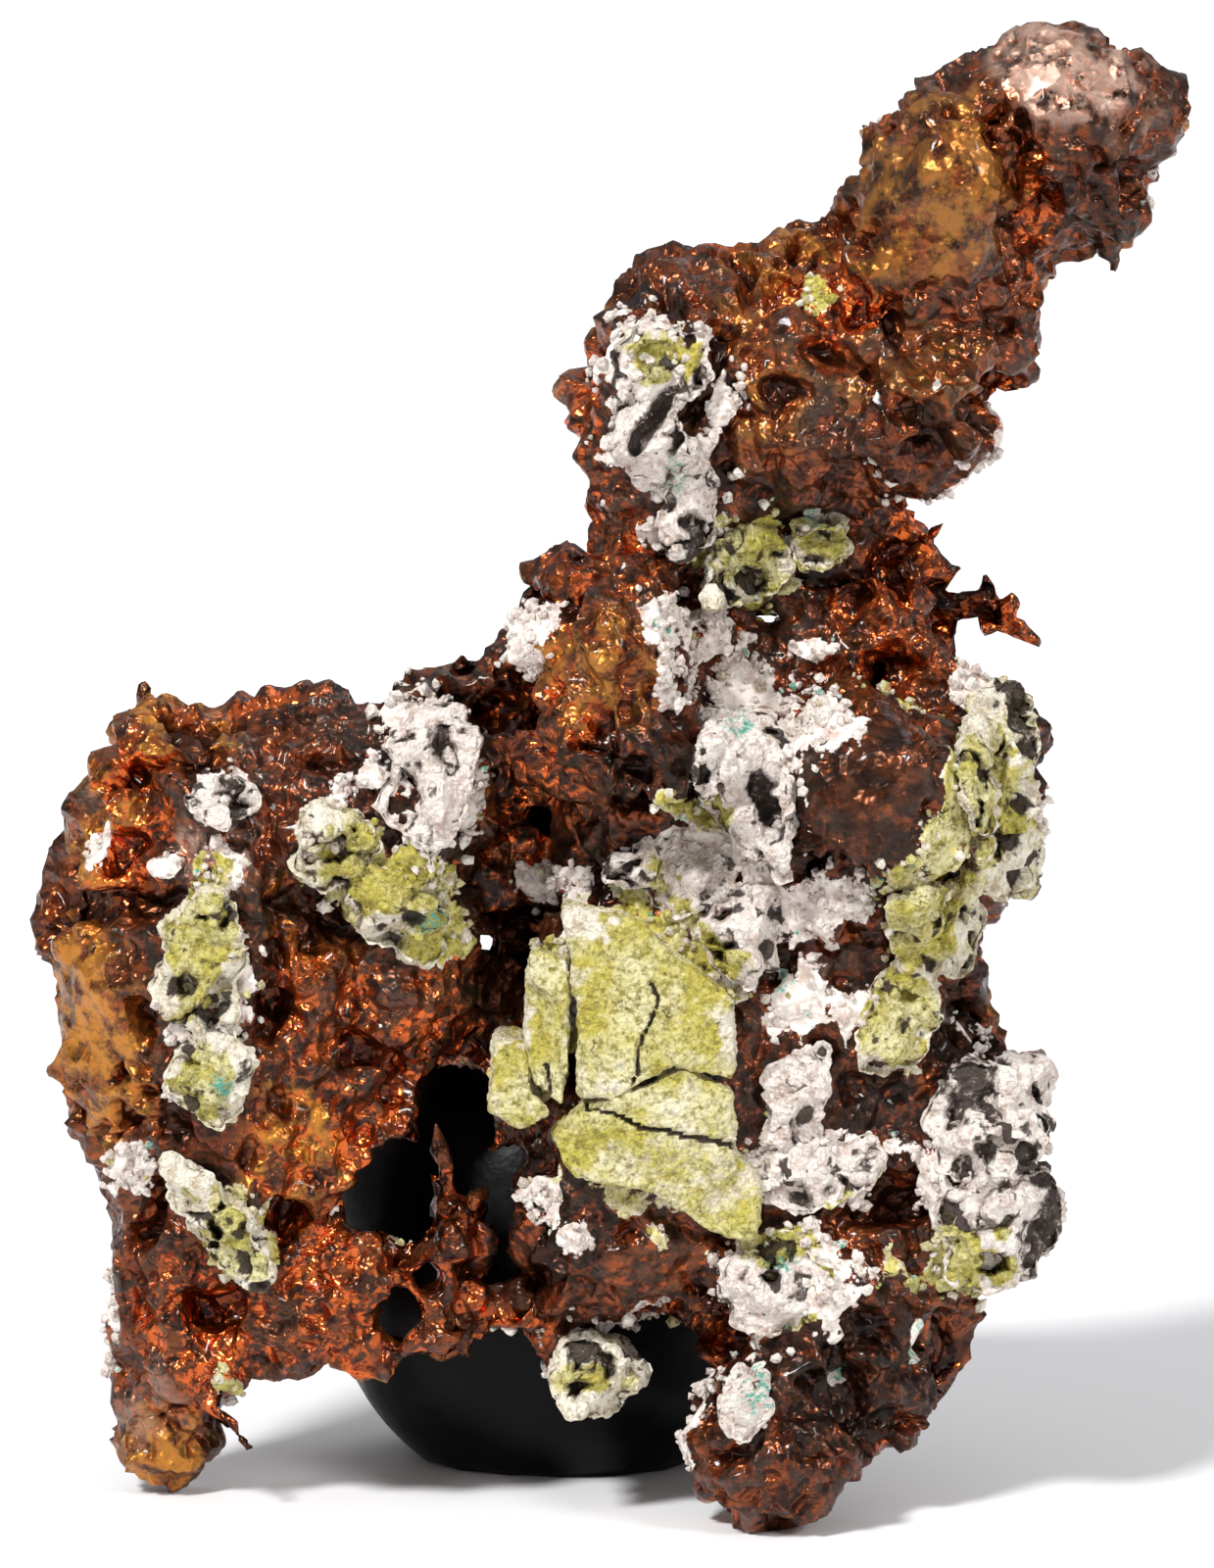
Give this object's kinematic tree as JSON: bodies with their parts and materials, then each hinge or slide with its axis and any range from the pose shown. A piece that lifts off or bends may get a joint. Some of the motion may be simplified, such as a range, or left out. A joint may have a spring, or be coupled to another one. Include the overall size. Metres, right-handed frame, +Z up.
{
  "type": "native copper specimen",
  "caption": "Rugged nugget of native copper with crusts of yellow-green epidote and pale feldspar, standing on two feet and propped from behind by a smooth black pebble.",
  "frame": {"origin": "middle of the footprint's box, on the surface that the specimen stands on", "axes": "+Z up, -Y towards the viewer, +X to the viewer's right"},
  "size_m": [0.0956, 0.0552, 0.1233],
  "materials": {
    "native_copper": "tarnished red-brown metal, bright in the pits, dark on the ridges",
    "epidote": "crumbly matt yellow-green mineral with white and dark grains",
    "feldspar": "crumbly matt white to pinkish-grey mineral with dark and green grains",
    "black_pebble": "smooth black, faintly satin"
  },
  "bodies": {
    "root": {"copper_mass": "native_copper", "rest_stone": "black_pebble", "crust_left_face": "epidote", "crust_left_leg": "epidote", "crust_wedge": "epidote", "crust_neck": "epidote", "crust_neck_side": "epidote", "crust_cheek": "epidote", "crust_waist": "epidote", "crust_hanging": "epidote", "slab_upper": "epidote", "slab_lower": "epidote", "slab_side": "epidote", "slab_chip": "epidote", "crust_boss": "feldspar", "crust_chip": "feldspar", "crust_upper": "feldspar", "crust_chin": "feldspar", "crust_saddle": "feldspar", "crust_middle": "feldspar", "crust_centre": "feldspar", "crust_flank": "feldspar", "crust_shin": "feldspar", "crust_foot": "feldspar"}
  },
  "joints": []
}
